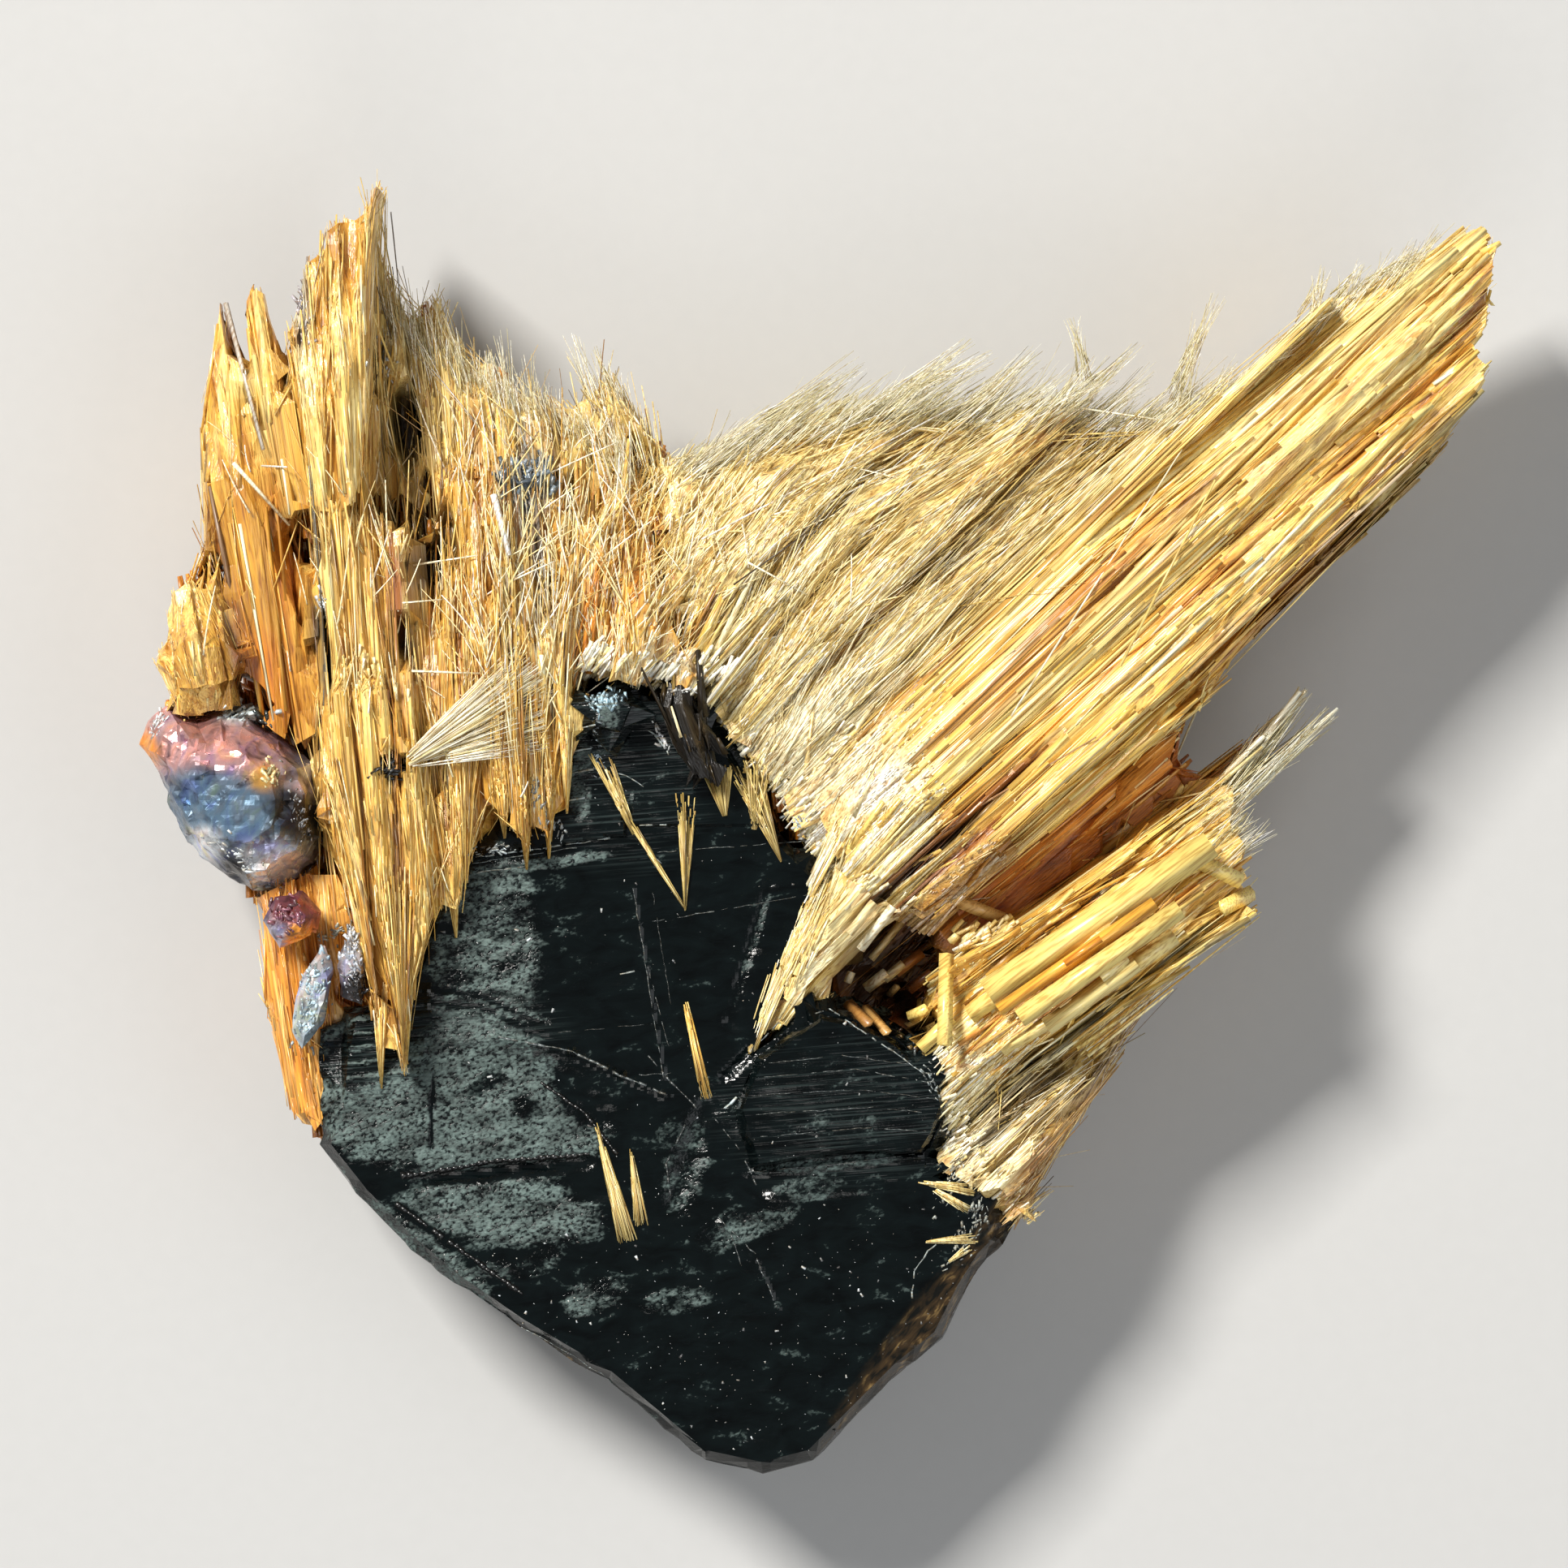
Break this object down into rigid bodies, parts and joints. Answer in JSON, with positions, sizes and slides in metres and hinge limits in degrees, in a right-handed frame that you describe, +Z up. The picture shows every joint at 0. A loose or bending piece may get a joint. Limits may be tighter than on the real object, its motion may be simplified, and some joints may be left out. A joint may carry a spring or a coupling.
{
  "type": "rutile on hematite mineral specimen",
  "caption": "Golden needle sheaves of rutile fanning out from a thick black hematite crystal plate, a loose mineral specimen lying face up.",
  "frame": {"origin": "on the surface the specimen lies on, below the middle of its bounding box", "axes": "+Z up out of the specimen's display face, +Y towards the tips of the left-hand rutile sheaves, +X towards the tip of the long right-hand rutile blade"},
  "size_m": [0.03, 0.0285, 0.0071],
  "materials": {
    "hematite": "glossy blue-black crystal face with matte grey-green etched patches",
    "iridescent_hematite": "steel-blue and pink iridescent metallic crust",
    "silver_hematite": "bright silver metallic flake",
    "golden_rutile": "silky golden fibrous crystal, adamantine lustre",
    "straw_rutile": "pale straw-yellow hair-fine needles, silky",
    "orange_rutile": "deep orange translucent fibrous crystal",
    "brown_rutile": "red-brown translucent fibrous crystal, glossy"
  },
  "bodies": {
    "root": {"hematite_crystal": "hematite", "hematite_knob": "iridescent_hematite", "hematite_lump": "iridescent_hematite", "hematite_flake": "silver_hematite", "hematite_chip": "silver_hematite", "rutile_outer_blade": "golden_rutile", "rutile_inner_blade": "golden_rutile", "rutile_crest": "golden_rutile", "rutile_left_sheaf": "golden_rutile", "rutile_middle_sheaf": "golden_rutile", "rutile_centre_tuft": "golden_rutile", "rutile_main_blade": "golden_rutile", "rutile_lower_arm": "golden_rutile", "rutile_lower_fan": "golden_rutile", "rutile_side_tuft": "straw_rutile", "rutile_back_sheaf": "straw_rutile", "rutile_hair_sheaf": "straw_rutile", "rutile_wedge": "straw_rutile", "rutile_face_fan": "straw_rutile", "rutile_face_fork": "straw_rutile", "rutile_face_needle_upper": "straw_rutile", "rutile_face_needle_lower": "straw_rutile", "rutile_patch_upper": "straw_rutile", "rutile_patch_lower": "straw_rutile", "rutile_lower_left": "orange_rutile", "rutile_brown_step": "brown_rutile", "rutile_hollow_floor": "brown_rutile", "rutile_dark_blade": "brown_rutile"}
  },
  "joints": []
}
